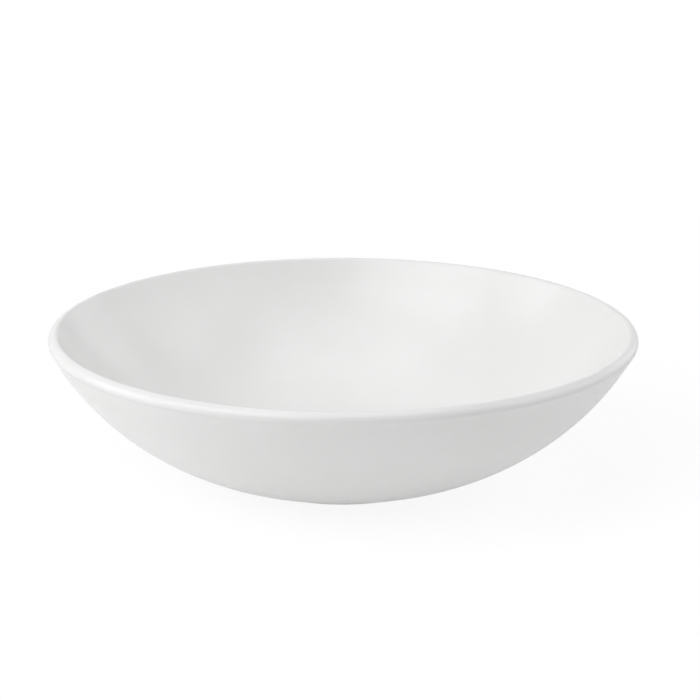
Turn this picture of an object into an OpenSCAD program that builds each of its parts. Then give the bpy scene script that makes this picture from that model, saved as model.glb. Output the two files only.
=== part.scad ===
// Wide shallow salad bowl in glazed stoneware, in millimetres, +Z up, standing on z = 0 and round about
// the Z axis. Every outside size is taken over the glaze. One outline is drawn twice, at the glaze's face
// and at the clay's face a glaze thickness below it, so the clay and the two coats of glaze always meet
// face to face.

/* [Bowl] */
// Diameter across the lip
rim_d = 240; // [200:1:280]
// Height from the surface that the bowl stands on to the top of the lip
bowl_h = 61; // [52:1:75]

/* [Wall and floor] */
// Thickness of the wall
wall_t = 4.6; // [3.6:0.1:6]
// Radius of the curve that the outside of the wall follows from foot to lip
wall_r = 115; // [95:1:160]
// Thickness of the floor, from the recess under it to the flat of the well
floor_t = 5; // [4:0.1:8]
// Radius of the curve that turns the wall into the flat of the well
well_r = 80; // [40:1:90]

/* [Lip] */
// How far the outer edge of the lip stands out beyond the wall below it
lip_proud = 0.3; // [0.1:0.05:0.8]
// Rounding of the outer edge of the lip
lip_edge_r = 2.4; // [1.6:0.1:2.6]
// Rounding of the crest, at the inside of the lip
crest_r = 1.4; // [0.8:0.1:1.6]
// How far the face of the lip falls from the crest to the outer edge
lip_fall = 0.4; // [0.1:0.1:0.8]
// Radius of the curve of the lip's face
face_r = 7; // [5:0.5:12]
// Radius of the hollow under the lip
cove_r = 6; // [4:0.5:12]

/* [Foot ring] */
// Diameter of the foot ring
foot_d = 90; // [76:1:110]
// Width of the flat land that the bowl stands on
land_w = 3; // [2:0.1:5]
// Rounding of the foot ring's two bottom edges
edge_r = 0.3; // [0.2:0.1:1]
// Radius of the hollow where the wall springs from the foot ring
spring_r = 0.4; // [0.3:0.1:2]
// Depth of the recess inside the foot ring
recess_h = 2; // [1.2:0.1:4]
// Rounding of the corner between the foot ring and the recess
recess_r = 0.8; // [0.4:0.1:2]

/* [Glaze] */
// Thickness of the glaze
glaze_t = 0.3; // [0.2:0.05:0.6]
// Height of the bare clay between the rounding of the foot ring's bottom edges and the glaze
bare_h = 0.1; // [0:0.05:0.6]

/* [Hidden] */
clay_colour = [0.85, 0.81, 0.74];
glaze_colour = [0.93, 0.93, 0.92];
// Farthest that a chord of the outline may lie from its true arc
chord_gap = 0.015;
// Number of sides of a revolve
$fn = 180;

// Foot ring: radius of its outside over the glaze, and of its bare clay outside, land and inside
foot_r = foot_d / 2;
clay_foot_r = foot_r - glaze_t;
land_out_r = clay_foot_r - edge_r;
land_in_r = land_out_r - land_w;
ring_in_r = land_in_r - edge_r;
// Height at which the rounded edge of the glaze has reached its full thickness
glaze_edge_z = edge_r + bare_h + glaze_t;
// Height of the flat of the well
well_z = recess_h + floor_t;

// Centre of the outer edge of the lip
lip_edge_c = [rim_d / 2 - lip_edge_r, bowl_h - lip_fall - lip_edge_r];
// Centre of the hollow above the foot ring
spring_c = [foot_r + spring_r, glaze_edge_z];
// Centre shared by both faces of the wall: the outside is tangent to the hollow at the foot and lies
// lip_proud inside the outer edge of the lip
wall_in_r = wall_r - wall_t;
wall_c = crossing(spring_c, wall_r + spring_r, lip_edge_c, wall_r + lip_proud - lip_edge_r);
// Centre of the lip's crest, tangent to the inside of the wall
crest_z = bowl_h - crest_r;
crest_c = [wall_c.x + sqrt((wall_in_r + crest_r) ^ 2 - (crest_z - wall_c.y) ^ 2), crest_z];
// Centre of the lip's face, tangent to the outer edge and to the crest
face_c = crossing(lip_edge_c, face_r - lip_edge_r, crest_c, face_r - crest_r);
// Centre of the hollow under the lip, tangent to the lip's outer edge and to the outside of the wall
cove_c = crossing(lip_edge_c, lip_edge_r + cove_r, wall_c, wall_r + cove_r);
// Curve of the well, tangent to the inside of the wall and to the floor, never wider than the wall allows
well_turn_r = min(well_r, wall_c.y - well_z);
well_turn_z = well_z + well_turn_r;
well_c = [wall_c.x + sqrt((wall_in_r - well_turn_r) ^ 2 - (well_turn_z - wall_c.y) ^ 2), well_turn_z];
// Rounded corner of the recess, never larger than the glazed side of the foot ring allows
recess_turn_r = min(recess_r, recess_h - glaze_edge_z);
recess_c = [ring_in_r - glaze_t - recess_turn_r, recess_h - recess_turn_r];

// Where two circles cross, on the left of the way from centre a to centre b
function crossing(a, radius_a, b, radius_b) =
    let (
        span = norm(b - a),
        along = (radius_a ^ 2 - radius_b ^ 2 + span ^ 2) / (2 * span),
        aside = sqrt(radius_a ^ 2 - along ^ 2),
        way = (b - a) / span
    )
    a + along * way + aside * [-way.y, way.x];

// Angle of the way from one point to another
function heading(from, to) = atan2(to.y - from.y, to.x - from.x);

// Points of an arc from one angle to another, close enough together to keep within chord_gap of it
function arc(centre, radius, start, end) =
    let (count = max(2, ceil(abs(end - start) / (2 * acos(1 - chord_gap / radius)))))
    [for (i = [0 : count])
        let (angle = start + (end - start) * i / count)
        centre + radius * [cos(angle), sin(angle)]];

// Glazed outline at a depth below the face of the glaze, from the foot up the outside, over the lip and
// down the inside to the middle of the floor
function glazed_outline(depth) = concat(
    arc(spring_c, spring_r + depth, 180, heading(spring_c, wall_c)),
    arc(wall_c, wall_r - depth, heading(wall_c, spring_c), heading(wall_c, cove_c)),
    arc(cove_c, cove_r + depth, heading(cove_c, wall_c), heading(cove_c, lip_edge_c)),
    arc(lip_edge_c, lip_edge_r - depth, heading(lip_edge_c, cove_c), heading(face_c, lip_edge_c)),
    arc(face_c, face_r - depth, heading(face_c, lip_edge_c), heading(face_c, crest_c)),
    arc(crest_c, crest_r - depth, heading(face_c, crest_c), heading(crest_c, wall_c)),
    arc(wall_c, wall_in_r + depth, heading(wall_c, crest_c), heading(wall_c, well_c)),
    arc(well_c, well_turn_r + depth, heading(wall_c, well_c), -90),
    [[0, well_z - depth]]
);

// Outline of the recess at a depth below the face of its glaze, from the foot ring up to the middle
function recess_outline(depth) = concat(
    arc(recess_c, recess_turn_r + depth, 0, 90),
    [[0, recess_h + depth]]
);

// Foot ring's bare clay, from the recess round under the land and up to the outside
function bare_outline() = concat(
    arc([land_in_r, edge_r], edge_r, 180, 270),
    arc([land_out_r, edge_r], edge_r, 270, 360)
);

// Points of a path in the other direction
function reversed(path) = [for (i = [len(path) - 1 : -1 : 0]) path[i]];

// A path without the points that repeat the one before them
function without_repeats(path) =
    [for (i = [0 : len(path) - 1]) if (i == 0 || norm(path[i] - path[i - 1]) > chord_gap / 10) path[i]];

module turned(path) {
    rotate_extrude() polygon(without_repeats(path));
}

// Fired clay: floor, wall, lip and foot ring in one piece
module stoneware_body() {
    color(clay_colour)
        turned(concat(bare_outline(), glazed_outline(glaze_t), reversed(recess_outline(glaze_t))));
}

// One coat of glaze over the outside, lip and inside, with a rounded edge above the foot's bare clay
module glaze_coat() {
    color(glaze_colour)
        turned(concat(
            arc([clay_foot_r, glaze_edge_z], glaze_t, -90, 0),
            glazed_outline(0),
            reversed(glazed_outline(glaze_t))
        ));
}

// Glaze in the recess, with a rounded edge above the bare clay inside the foot ring
module base_glaze() {
    color(glaze_colour)
        turned(concat(
            arc([ring_in_r, glaze_edge_z], glaze_t, 270, 180),
            recess_outline(0),
            reversed(recess_outline(glaze_t))
        ));
}

stoneware_body();
glaze_coat();
base_glaze();
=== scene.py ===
"""Looks of a wide shallow salad bowl: white satin glaze on fired stoneware, on a plain pale floor.

Metres, +Z up, standing on z = 0 and round about the Z axis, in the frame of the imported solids. The clay and the
two coats of glaze are turned from the same outline as the solids, then given the small unevenness of firing.
"""
from math import atan2, ceil, cos, hypot, pi, radians, sin, sqrt, tau

import bpy
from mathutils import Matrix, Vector, noise


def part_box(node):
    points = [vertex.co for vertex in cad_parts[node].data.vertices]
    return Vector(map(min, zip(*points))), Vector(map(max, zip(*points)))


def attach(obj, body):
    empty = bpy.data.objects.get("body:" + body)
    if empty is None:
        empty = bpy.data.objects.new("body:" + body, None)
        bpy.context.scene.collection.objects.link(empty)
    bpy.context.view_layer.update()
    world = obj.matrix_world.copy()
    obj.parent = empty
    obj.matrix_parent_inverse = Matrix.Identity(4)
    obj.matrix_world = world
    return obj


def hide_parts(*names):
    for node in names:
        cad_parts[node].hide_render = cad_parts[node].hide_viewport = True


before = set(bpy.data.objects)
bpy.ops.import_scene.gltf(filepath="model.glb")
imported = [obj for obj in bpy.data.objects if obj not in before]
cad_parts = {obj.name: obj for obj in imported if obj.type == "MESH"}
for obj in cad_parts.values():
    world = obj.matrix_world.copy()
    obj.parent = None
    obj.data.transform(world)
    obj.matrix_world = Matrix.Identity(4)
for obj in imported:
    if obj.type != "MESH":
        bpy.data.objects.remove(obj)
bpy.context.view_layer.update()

MM = 0.001

# Sizes read from the solids
COAT_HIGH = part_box("glaze_coat")[1]
CLAY_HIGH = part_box("stoneware_body")[1]
PATCH_LOW, PATCH_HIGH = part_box("base_glaze")
RIM_R = min(COAT_HIGH.x, COAT_HIGH.y)
BOWL_H = COAT_HIGH.z
GLAZE_T = COAT_HIGH.z - CLAY_HIGH.z
RING_IN_R = min(PATCH_HIGH.x, PATCH_HIGH.y)
RECESS_H = PATCH_HIGH.z - GLAZE_T
GLAZE_LINE_Z = PATCH_LOW.z

# Wall, floor and lip
WALL_T = 4.6 * MM
WALL_R = 115 * MM
FLOOR_T = 5 * MM
WELL_R = 80 * MM
LIP_PROUD = 0.3 * MM
CREST_R = 1.4 * MM
LIP_EDGE_R = 2.4 * MM
LIP_FALL = 0.4 * MM
FACE_R = 7 * MM
COVE_R = 6 * MM
# Foot ring
EDGE_R = 0.3 * MM
LAND_W = 3 * MM
SPRING_R = 0.4 * MM
RECESS_R = 0.8 * MM
# Firing: how far the lip sinks on the right and pulls in on the left, and the part of the height at which the
# pull starts
LIP_SINK = 0.56 * MM
LIP_PULL = 0.80 * MM
PULL_START = 0.8
# Glaze line: how far it rises and the height over which that fades, then the scale and share of its slow wander
# and of its fine ripple, and its mean rise as a part of the whole
GLAZE_LINE_RISE = 0.28 * MM
GLAZE_LINE_FADE = 3 * GLAZE_T
WANDER_SCALE, WANDER_SHARE = 3, 0.6
RIPPLE_SCALE, RIPPLE_SHARE = 14, 0.35
MEAN_RISE = 0.45
# Height of the noise that the wander and the ripple are read at
WANDER_LEVEL, RIPPLE_LEVEL = 0.5, 4.5
# Sponge marks in the standing land: depth, and number a metre
LAND_DIMPLE = 0.06 * MM
DIMPLES_PER_M = 400

# Mesh: steps round the bowl, spacing of the points along wide curves, small curves and level stretches, and the
# fewest steps of a curve and of a stretch
STEPS_ROUND = 320
WIDE_SPACING = 2.4 * MM
SMALL_SPACING = 0.27 * MM
LEVEL_SPACING = 4.8 * MM
SMALL_RADIUS = 12 * MM
FEWEST_CURVE_STEPS, FEWEST_LEVEL_STEPS = 4, 2
# Neighbours in an outline that lie closer than this are one point
SAME_POINT = 1e-7


def crossing(a, radius_a, b, radius_b):
    """Where two circles cross, on the left of the way from centre a to centre b."""
    span = (b - a).length
    along = (radius_a**2 - radius_b**2 + span**2) / (2 * span)
    way = (b - a) / span
    return a + along * way + sqrt(radius_a**2 - along**2) * Vector((-way.y, way.x))


def heading(start, end):
    """Angle of the way from one point to another."""
    return atan2(end.y - start.y, end.x - start.x)


def arc(centre, radius, start, end):
    """Points of an arc from one angle to another."""
    spacing = SMALL_SPACING if radius < SMALL_RADIUS else WIDE_SPACING
    count = max(FEWEST_CURVE_STEPS, ceil(abs(end - start) * radius / spacing))
    angles = [start + (end - start) * i / count for i in range(count + 1)]
    return [centre + radius * Vector((cos(angle), sin(angle))) for angle in angles]


def level(start_r, end_r, height):
    """Points of a level stretch between two distances from the axis."""
    count = max(FEWEST_LEVEL_STEPS, ceil(abs(end_r - start_r) / LEVEL_SPACING))
    return [Vector((start_r + (end_r - start_r) * i / count, height)) for i in range(count + 1)]


# Foot ring, from the inside of its bare clay out to the face of the glaze
LAND_IN_R = RING_IN_R + EDGE_R
LAND_OUT_R = LAND_IN_R + LAND_W
CLAY_FOOT_R = LAND_OUT_R + EDGE_R
FOOT_R = CLAY_FOOT_R + GLAZE_T
GLAZE_EDGE_Z = GLAZE_LINE_Z + GLAZE_T
# Outer edge of the lip, and the wall's two faces about one centre
LIP_EDGE_C = Vector((RIM_R - LIP_EDGE_R, BOWL_H - LIP_FALL - LIP_EDGE_R))
SPRING_C = Vector((FOOT_R + SPRING_R, GLAZE_EDGE_Z))
WALL_IN_R = WALL_R - WALL_T
WALL_C = crossing(SPRING_C, WALL_R + SPRING_R, LIP_EDGE_C, WALL_R + LIP_PROUD - LIP_EDGE_R)
# Crest of the lip on the inside of the wall, the lip's face, the hollow under it, the well and the recess
CREST_Z = BOWL_H - CREST_R
CREST_C = Vector((WALL_C.x + sqrt((WALL_IN_R + CREST_R) ** 2 - (CREST_Z - WALL_C.y) ** 2), CREST_Z))
FACE_C = crossing(LIP_EDGE_C, FACE_R - LIP_EDGE_R, CREST_C, FACE_R - CREST_R)
COVE_C = crossing(LIP_EDGE_C, LIP_EDGE_R + COVE_R, WALL_C, WALL_R + COVE_R)
WELL_Z = RECESS_H + FLOOR_T
WELL_TURN_Z = WELL_Z + WELL_R
WELL_C = Vector((WALL_C.x + sqrt((WALL_IN_R - WELL_R) ** 2 - (WELL_TURN_Z - WALL_C.y) ** 2), WELL_TURN_Z))
RECESS_C = Vector((RING_IN_R - GLAZE_T - RECESS_R, RECESS_H - RECESS_R))


def glazed_outline(depth):
    """Outline at a depth below the face of the glaze: up the outside, over the lip and down into the well."""
    return [
        *arc(SPRING_C, SPRING_R + depth, pi, heading(SPRING_C, WALL_C)),
        *arc(WALL_C, WALL_R - depth, heading(WALL_C, SPRING_C), heading(WALL_C, COVE_C)),
        *arc(COVE_C, COVE_R + depth, heading(COVE_C, WALL_C), heading(COVE_C, LIP_EDGE_C)),
        *arc(LIP_EDGE_C, LIP_EDGE_R - depth, heading(LIP_EDGE_C, COVE_C), heading(FACE_C, LIP_EDGE_C)),
        *arc(FACE_C, FACE_R - depth, heading(FACE_C, LIP_EDGE_C), heading(FACE_C, CREST_C)),
        *arc(CREST_C, CREST_R - depth, heading(FACE_C, CREST_C), heading(CREST_C, WALL_C)),
        *arc(WALL_C, WALL_IN_R + depth, heading(WALL_C, CREST_C), heading(WALL_C, WELL_C)),
        *arc(WELL_C, WELL_R + depth, heading(WALL_C, WELL_C), -pi / 2),
        *level(WELL_C.x, 0, WELL_Z - depth),
    ]


def recess_outline(depth):
    """Outline of the recess at a depth below the face of its glaze, from the foot ring up to the middle."""
    return [
        *arc(RECESS_C, RECESS_R + depth, 0, pi / 2),
        *level(RECESS_C.x, 0, RECESS_H + depth),
    ]


def bare_outline():
    """Outline of the foot ring's bare clay, from the recess round under the land and up to the outside."""
    return [
        *arc(Vector((LAND_IN_R, EDGE_R)), EDGE_R, pi, 1.5 * pi),
        *level(LAND_IN_R, LAND_OUT_R, 0),
        *arc(Vector((LAND_OUT_R, EDGE_R)), EDGE_R, 1.5 * pi, tau),
    ]


def eased(value):
    """Smooth step from 0 to 1 as the value goes from 0 to 1."""
    held = min(1, max(0, value))
    return held * held * (3 - 2 * held)


def fired(point):
    """A point of the bowl after firing: the lip has sunk a little on the right and pulled in on the left."""
    to_right = 0.5 + 0.5 * sin(atan2(point.x, -point.y))
    height = point.z / BOWL_H
    sink = LIP_SINK * eased(height) * eased(hypot(point.x, point.y) / RIM_R) * to_right
    pull = LIP_PULL * eased((height - PULL_START) / (1 - PULL_START)) * (1 - to_right) ** 2
    inward = 1 - pull / RIM_R
    return Vector((point.x * inward, point.y * inward, point.z - sink))


def glaze_run(point):
    """A point of the glaze after firing, with the wavy line where the glaze stops above the bare clay."""
    turn = atan2(point.y, point.x)
    near_line = 1 - eased((point.z - GLAZE_LINE_Z) / GLAZE_LINE_FADE)
    at_foot = eased((hypot(point.x, point.y) - RING_IN_R + 2 * RECESS_R) / RECESS_R)
    wander = noise.noise(Vector((WANDER_SCALE * cos(turn), WANDER_SCALE * sin(turn), WANDER_LEVEL)))
    ripple = noise.noise(Vector((RIPPLE_SCALE * cos(turn), RIPPLE_SCALE * sin(turn), RIPPLE_LEVEL)))
    rise = GLAZE_LINE_RISE * max(0, MEAN_RISE + WANDER_SHARE * wander + RIPPLE_SHARE * ripple)
    return fired(point + Vector((0, 0, rise * near_line * at_foot)))


def wiped_clay(point):
    """A point of the clay after firing, with the shallow dimples that the wiping sponge leaves in the land."""
    on_land = 1 - eased(point.z / EDGE_R)
    dimple = 0.5 + 0.5 * noise.noise(point * DIMPLES_PER_M)
    return fired(point + Vector((0, 0, LAND_DIMPLE * dimple * on_land)))


def turned(name, outline, shaped, material, node):
    """A closed smooth mesh turned about the axis from an outline that starts and ends on the axis."""
    path = [p for i, p in enumerate(outline) if i == 0 or (p - outline[i - 1]).length > SAME_POINT]
    rings = path[1:-1]
    points = []
    for ring in rings:
        for step in range(STEPS_ROUND):
            turn = tau * step / STEPS_ROUND
            points.append(shaped(Vector((ring.x * cos(turn), ring.x * sin(turn), ring.y))))
    first_pole, last_pole = len(points), len(points) + 1
    points += [shaped(Vector((0, 0, path[0].y))), shaped(Vector((0, 0, path[-1].y)))]
    last_ring = (len(rings) - 1) * STEPS_ROUND
    faces = []
    for step in range(STEPS_ROUND):
        following = (step + 1) % STEPS_ROUND
        faces.append((first_pole, following, step))
        for base in range(0, last_ring, STEPS_ROUND):
            above = base + STEPS_ROUND
            faces.append((base + step, base + following, above + following, above + step))
        faces.append((last_ring + step, last_ring + following, last_pole))
    mesh = bpy.data.meshes.new(name)
    mesh.from_pydata(points, [], faces)
    mesh.shade_smooth()
    mesh.materials.append(material)
    piece = bpy.data.objects.new(name, mesh)
    bpy.context.scene.collection.objects.link(piece)
    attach(piece, "root")
    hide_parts(node)


# Materials

# Glaze: its shaded and light clouds, its specks and how strongly they show
GLAZE_SHADED, GLAZE_LIGHT = (0.882, 0.882, 0.876), (0.908, 0.908, 0.904)
GLAZE_SPECK = (0.36, 0.34, 0.30)
GLAZE_SPECK_STRENGTH = 0.35
GLAZE_ROUGHNESS = (0.20, 0.25)
# Bare clay: its shaded and light clouds, and its dark grains
CLAY_SHADED, CLAY_LIGHT = (0.62, 0.555, 0.455), (0.74, 0.69, 0.60)
CLAY_GRAIN = (0.33, 0.27, 0.20)
CLAY_ROUGHNESS = (0.78, 0.95)
# Numbers of a colour mix's two colour inputs and of its colour output
MIX_COLOURS, MIX_RESULT = (6, 7), 2


def add_node(tree, kind, inputs=None, **settings):
    """Adds a node. An input is a value or another node's output, and is named or numbered."""
    made = tree.nodes.new(kind)
    for name, value in settings.items():
        setattr(made, name, value)
    for name, value in (inputs or {}).items():
        if isinstance(value, bpy.types.NodeSocket):
            tree.links.new(value, made.inputs[name])
        else:
            made.inputs[name].default_value = value
    return made


def new_effect(name, inputs, output):
    """Starts a shader node group with number inputs and one output, and gives its tree and input node."""
    tree = bpy.data.node_groups.new(name, "ShaderNodeTree")
    for input_name, value in inputs.items():
        socket = tree.interface.new_socket(input_name, in_out="INPUT", socket_type="NodeSocketFloat")
        socket.default_value = value
    tree.interface.new_socket(output, in_out="OUTPUT", socket_type="NodeSocketFloat")
    return tree, tree.nodes.new("NodeGroupInput")


def end_effect(tree, result):
    """Ends a shader node group with its result."""
    tree.links.new(result, tree.nodes.new("NodeGroupOutput").inputs[0])
    return tree


def add_effect(tree, effect, **values):
    """Adds a shader node group with the values of its inputs, and gives its output."""
    made = add_node(tree, "ShaderNodeGroup", node_tree=effect)
    for name, value in values.items():
        made.inputs[name].default_value = value
    return made.outputs[0]


def kiln_cloud():
    """Soft patchiness of firing, from Low to High. Scale is in patches a metre."""
    tree, given = new_effect("kiln_cloud", {"Scale": 20, "Low": 0, "High": 1}, "Cloud")
    place = add_node(tree, "ShaderNodeTexCoord").outputs["Object"]
    patches = add_node(tree, "ShaderNodeTexNoise", {
        "Vector": place, "Scale": given.outputs["Scale"], "Detail": 4, "Roughness": 0.55})
    spread = add_node(tree, "ShaderNodeMapRange", {
        "Value": patches.outputs["Fac"], "From Min": 0.32, "From Max": 0.68,
        "To Min": given.outputs["Low"], "To Max": given.outputs["High"]})
    return end_effect(tree, spread.outputs["Result"])


def fired_specks():
    """Specks that come through in firing: Scale in cells a metre, Size in cells, Share of all cells."""
    tree, given = new_effect("fired_specks", {"Scale": 60, "Size": 0.04, "Share": 0.3}, "Speck")
    place = add_node(tree, "ShaderNodeTexCoord").outputs["Object"]
    cells = add_node(tree, "ShaderNodeTexVoronoi", {"Vector": place, "Scale": given.outputs["Scale"]})
    dot = add_node(tree, "ShaderNodeMapRange", {
        "Value": cells.outputs["Distance"], "From Min": given.outputs["Size"], "From Max": 0,
        "To Min": 0, "To Max": 1}, interpolation_type="SMOOTHSTEP")
    chance = add_node(tree, "ShaderNodeSeparateColor", {"Color": cells.outputs["Color"]})
    kept = add_node(tree, "ShaderNodeMath", {0: chance.outputs["Red"], 1: given.outputs["Share"]},
                    operation="LESS_THAN")
    speck = add_node(tree, "ShaderNodeMath", {0: dot.outputs["Result"], 1: kept.outputs[0]},
                     operation="MULTIPLY")
    return end_effect(tree, speck.outputs[0])


def surface_grain():
    """Height of a fired surface from 0 to 1: fine grain on a slower swell, both in grains a metre."""
    tree, given = new_effect("surface_grain", {"Fine": 900, "Slow": 160, "Fine Share": 0.3}, "Height")
    place = add_node(tree, "ShaderNodeTexCoord").outputs["Object"]
    fine = add_node(tree, "ShaderNodeTexNoise", {"Vector": place, "Scale": given.outputs["Fine"], "Detail": 3})
    slow = add_node(tree, "ShaderNodeTexNoise", {"Vector": place, "Scale": given.outputs["Slow"], "Detail": 2})
    both = add_node(tree, "ShaderNodeMix", {
        "Factor": given.outputs["Fine Share"], "A": slow.outputs["Fac"], "B": fine.outputs["Fac"]})
    return end_effect(tree, both.outputs["Result"])


CLOUD = kiln_cloud()
SPECKS = fired_specks()
GRAIN = surface_grain()


def new_material(name):
    """Starts a material, and gives it with its node tree and its shader."""
    material = bpy.data.materials.new(name)
    material.use_nodes = True
    tree = material.node_tree
    return material, tree, tree.nodes["Principled BSDF"]


def blend_colours(tree, share, low, high):
    """A colour between two others, by a share from 0 to 1."""
    made = add_node(tree, "ShaderNodeMix", data_type="RGBA")
    tree.links.new(share, made.inputs["Factor"])
    for number, colour in zip(MIX_COLOURS, (low, high)):
        if isinstance(colour, bpy.types.NodeSocket):
            tree.links.new(colour, made.inputs[number])
        else:
            made.inputs[number].default_value = (*colour, 1)
    return made.outputs[MIX_RESULT]


def add_bump(tree, height, strength, distance):
    """A surface normal from a height."""
    made = add_node(tree, "ShaderNodeBump", {"Strength": strength, "Distance": distance, "Height": height})
    return made.outputs["Normal"]


def white_satin_glaze():
    """White satin glaze: faintly clouded, a few grey specks, a soft gloss and a fine orange-peel skin."""
    material, tree, shader = new_material("white_satin_glaze")
    clouded = blend_colours(tree, add_effect(tree, CLOUD, Scale=22), GLAZE_SHADED, GLAZE_LIGHT)
    speck = add_effect(tree, SPECKS, Scale=55, Size=0.028, Share=0.35)
    faint = add_node(tree, "ShaderNodeMath", {0: speck, 1: GLAZE_SPECK_STRENGTH}, operation="MULTIPLY")
    tree.links.new(blend_colours(tree, faint.outputs[0], clouded, GLAZE_SPECK), shader.inputs["Base Color"])
    low, high = GLAZE_ROUGHNESS
    tree.links.new(add_effect(tree, CLOUD, Scale=120, Low=low, High=high), shader.inputs["Roughness"])
    skin = add_effect(tree, GRAIN, **{"Fine": 1100, "Slow": 140, "Fine Share": 0.35})
    tree.links.new(add_bump(tree, skin, strength=0.06, distance=0.4 * MM), shader.inputs["Normal"])
    return material


def bare_stoneware():
    """Bare fired clay of the standing ring: warm, matte, gritty, with dark grains."""
    material, tree, shader = new_material("bare_stoneware")
    clouded = blend_colours(tree, add_effect(tree, CLOUD, Scale=70), CLAY_SHADED, CLAY_LIGHT)
    grain = add_effect(tree, SPECKS, Scale=900, Size=0.35, Share=0.22)
    tree.links.new(blend_colours(tree, grain, clouded, CLAY_GRAIN), shader.inputs["Base Color"])
    low, high = CLAY_ROUGHNESS
    tree.links.new(add_effect(tree, CLOUD, Scale=300, Low=low, High=high), shader.inputs["Roughness"])
    grit = add_effect(tree, GRAIN, **{"Fine": 2600, "Slow": 700, "Fine Share": 0.6})
    tree.links.new(add_bump(tree, grit, strength=0.5, distance=0.2 * MM), shader.inputs["Normal"])
    return material


# The bowl's three pieces

def build_bowl():
    """The fired clay, the coat of glaze over it and the patch of glaze in the recess."""
    glaze, clay = white_satin_glaze(), bare_stoneware()
    turned("fired_clay", [*reversed(recess_outline(GLAZE_T)), *bare_outline(), *glazed_outline(GLAZE_T)],
           wiped_clay, clay, "stoneware_body")
    coat_edge = arc(Vector((CLAY_FOOT_R, GLAZE_EDGE_Z)), GLAZE_T, -pi / 2, 0)
    turned("satin_coat", [*reversed(glazed_outline(GLAZE_T)), *coat_edge, *glazed_outline(0)],
           glaze_run, glaze, "glaze_coat")
    patch_edge = arc(Vector((RING_IN_R, GLAZE_EDGE_Z)), GLAZE_T, pi, 1.5 * pi)
    turned("recess_patch", [*reversed(recess_outline(0)), *patch_edge, *recess_outline(GLAZE_T)],
           glaze_run, glaze, "base_glaze")


# Floor, lamps, background and camera

FLOOR_SIDE = 8.0
FLOOR_ROUGHNESS = 0.9
FLOOR_SPECULAR = 0.1
# Floor's colour for the light that it gives to the bowl, in reflections, and as the camera sees it
FLOOR_COLOUR, FLOOR_MIRRORED_COLOUR, FLOOR_SEEN_COLOUR = 0.66, 0.84, 0.16
# Floor's glow for the light that it gives to the bowl and in reflections, and as the camera sees it
FLOOR_GLOW, FLOOR_SEEN_GLOW = 0.235, 0.865
# Distances from the bowl between which the floor that the camera sees goes over to full white
FADE_START, FADE_END = 0.35, 1.0
BACKGROUND_FILL = 0.15

# Distance of every lamp from the bowl, and each lamp's direction, side of its square and power in watts
LAMP_DISTANCE = 1.6
LAMPS = {
    "left_window": ((-0.525, -0.525, 0.669), 1.4, 10.8),
    "window_core": ((-0.586, -0.586, 0.559), 0.6, 1.5),
    "left_top": ((-0.324, -0.187, 0.927), 1.1, 1.7),
    "left_low": ((-0.940, 0.000, 0.342), 1.2, 6.2),
    "ceiling": ((0.000, 0.000, 1.000), 1.1, 2.6),
    "back_top": ((0.000, 0.375, 0.927), 1.1, 1.9),
    "right_reflector": ((0.883, 0.000, 0.469), 1.6, 7.6),
    "back_right_low": ((0.680, 0.680, 0.276), 0.8, 1.4),
}

# Photograph's view: distance and elevation of the camera from the middle of the lip, and the point it looks at,
# a little to the right of that middle and below it
LIP_MIDDLE_DROP = 2.2 * MM
LIP_MIDDLE = Vector((0, 0, BOWL_H - LIP_MIDDLE_DROP))
IMAGE_SIDE_PX = 700
FOCAL_PX = 2949
SENSOR = 36
CAMERA_DISTANCE = 1.2
CAMERA_ELEVATION = radians(15.5)
LOOK_ASIDE, LOOK_DOWN = 3.1 * MM, 7.5 * MM
LOOK_AT = LIP_MIDDLE + Vector((LOOK_ASIDE, 0, -LOOK_DOWN))


def either(tree, *values):
    """The largest of several values."""
    largest = values[0]
    for value in values[1:]:
        largest = add_node(tree, "ShaderNodeMath", {0: largest, 1: value}, operation="MAXIMUM").outputs[0]
    return largest


def between(tree, share, low, high):
    """A value between two others, by a share from 0 to 1."""
    made = add_node(tree, "ShaderNodeMapRange", {"Value": share, "To Min": low, "To Max": high})
    return made.outputs["Result"]


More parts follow.
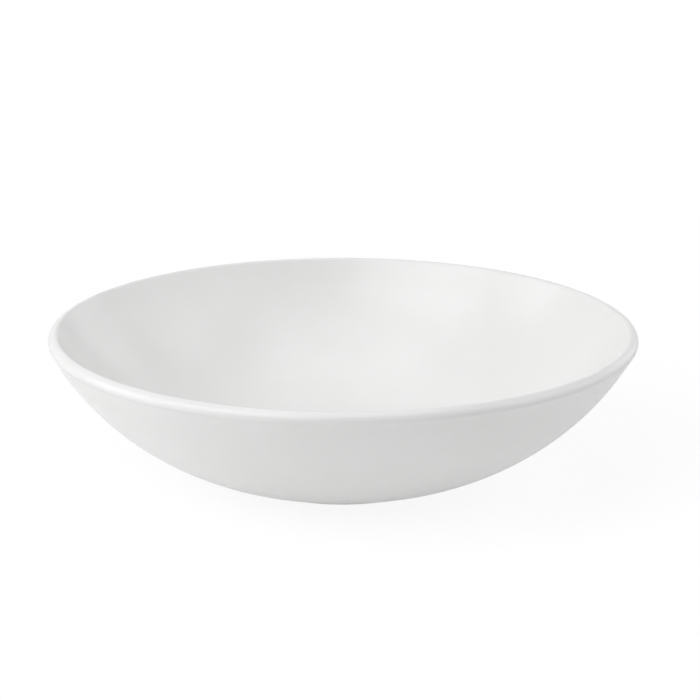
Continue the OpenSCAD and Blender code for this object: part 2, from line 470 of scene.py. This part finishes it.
def build_floor():
    """A wide lit floor that looks white from above, keeps the bowl's soft shadow and is clear from below."""
    half = FLOOR_SIDE / 2
    mesh = bpy.data.meshes.new("pale_floor")
    corners = [(-half, -half, 0), (half, -half, 0), (half, half, 0), (-half, half, 0)]
    mesh.from_pydata(corners, [], [(0, 1, 2, 3)])
    material, tree, shader = new_material("pale_floor")
    path = add_node(tree, "ShaderNodeLightPath").outputs
    seen = either(tree, path["Is Camera Ray"], path["Is Transmission Ray"])
    unseen_colour = between(tree, path["Is Glossy Ray"], FLOOR_COLOUR, FLOOR_MIRRORED_COLOUR)
    tree.links.new(between(tree, seen, unseen_colour, FLOOR_SEEN_COLOUR), shader.inputs["Base Color"])
    place = add_node(tree, "ShaderNodeTexCoord").outputs["Object"]
    far = add_node(tree, "ShaderNodeVectorMath", {0: place}, operation="LENGTH").outputs["Value"]
    seen_glow = add_node(tree, "ShaderNodeMapRange", {
        "Value": far, "From Min": FADE_START, "From Max": FADE_END, "To Min": FLOOR_SEEN_GLOW, "To Max": 1},
        interpolation_type="SMOOTHSTEP").outputs["Result"]
    tree.links.new(between(tree, seen, FLOOR_GLOW, seen_glow), shader.inputs["Emission Strength"])
    shader.inputs["Emission Color"].default_value = (1, 1, 1, 1)
    shader.inputs["Roughness"].default_value = FLOOR_ROUGHNESS
    shader.inputs["Specular IOR Level"].default_value = FLOOR_SPECULAR
    below = add_node(tree, "ShaderNodeNewGeometry").outputs["Backfacing"]
    seen_below = add_node(tree, "ShaderNodeMath", {0: path["Is Camera Ray"], 1: below}, operation="MULTIPLY")
    clear = add_node(tree, "ShaderNodeBsdfTransparent")
    mixed = add_node(tree, "ShaderNodeMixShader", {
        0: seen_below.outputs[0], 1: shader.outputs[0], 2: clear.outputs[0]})
    tree.links.new(mixed.outputs[0], tree.nodes["Material Output"].inputs["Surface"])
    mesh.materials.append(material)
    floor = bpy.data.objects.new("pale_floor", mesh)
    bpy.context.scene.collection.objects.link(floor)


def build_lamps():
    """Soft square lamps that face the middle of the bowl."""
    middle = Vector((0, 0, BOWL_H / 2))
    for name, (direction, side, power) in LAMPS.items():
        data = bpy.data.lights.new(name, "AREA")
        data.shape = "SQUARE"
        data.size = side
        data.energy = power
        lamp = bpy.data.objects.new(name, data)
        away = Vector(direction).normalized()
        lamp.location = middle + away * LAMP_DISTANCE
        lamp.rotation_euler = away.to_track_quat("Z", "Y").to_euler()
        lamp.visible_camera = False
        bpy.context.scene.collection.objects.link(lamp)


def build_background():
    """White to the camera and in reflections, and a weak even fill for the rest of the light."""
    world = bpy.data.worlds.new("white_background")
    world.use_nodes = True
    tree = world.node_tree
    path = add_node(tree, "ShaderNodeLightPath").outputs
    seen = either(tree, path["Is Camera Ray"], path["Is Glossy Ray"], path["Is Transmission Ray"])
    tree.nodes["Background"].inputs["Color"].default_value = (1, 1, 1, 1)
    tree.links.new(between(tree, seen, BACKGROUND_FILL, 1), tree.nodes["Background"].inputs["Strength"])
    bpy.context.scene.world = world


def build_camera():
    """The photograph's view of the bowl."""
    back = Vector((0, -cos(CAMERA_ELEVATION), sin(CAMERA_ELEVATION)))
    data = bpy.data.cameras.new("photo_view")
    data.sensor_width = SENSOR
    data.lens = SENSOR * FOCAL_PX / IMAGE_SIDE_PX
    camera = bpy.data.objects.new("photo_view", data)
    camera.location = LIP_MIDDLE + back * CAMERA_DISTANCE
    camera.rotation_euler = (LOOK_AT - camera.location).to_track_quat("-Z", "Y").to_euler()
    bpy.context.scene.collection.objects.link(camera)
    bpy.context.scene.camera = camera


build_bowl()
build_floor()
build_lamps()
build_background()
build_camera()
bpy.context.scene.view_settings.view_transform = "Standard"
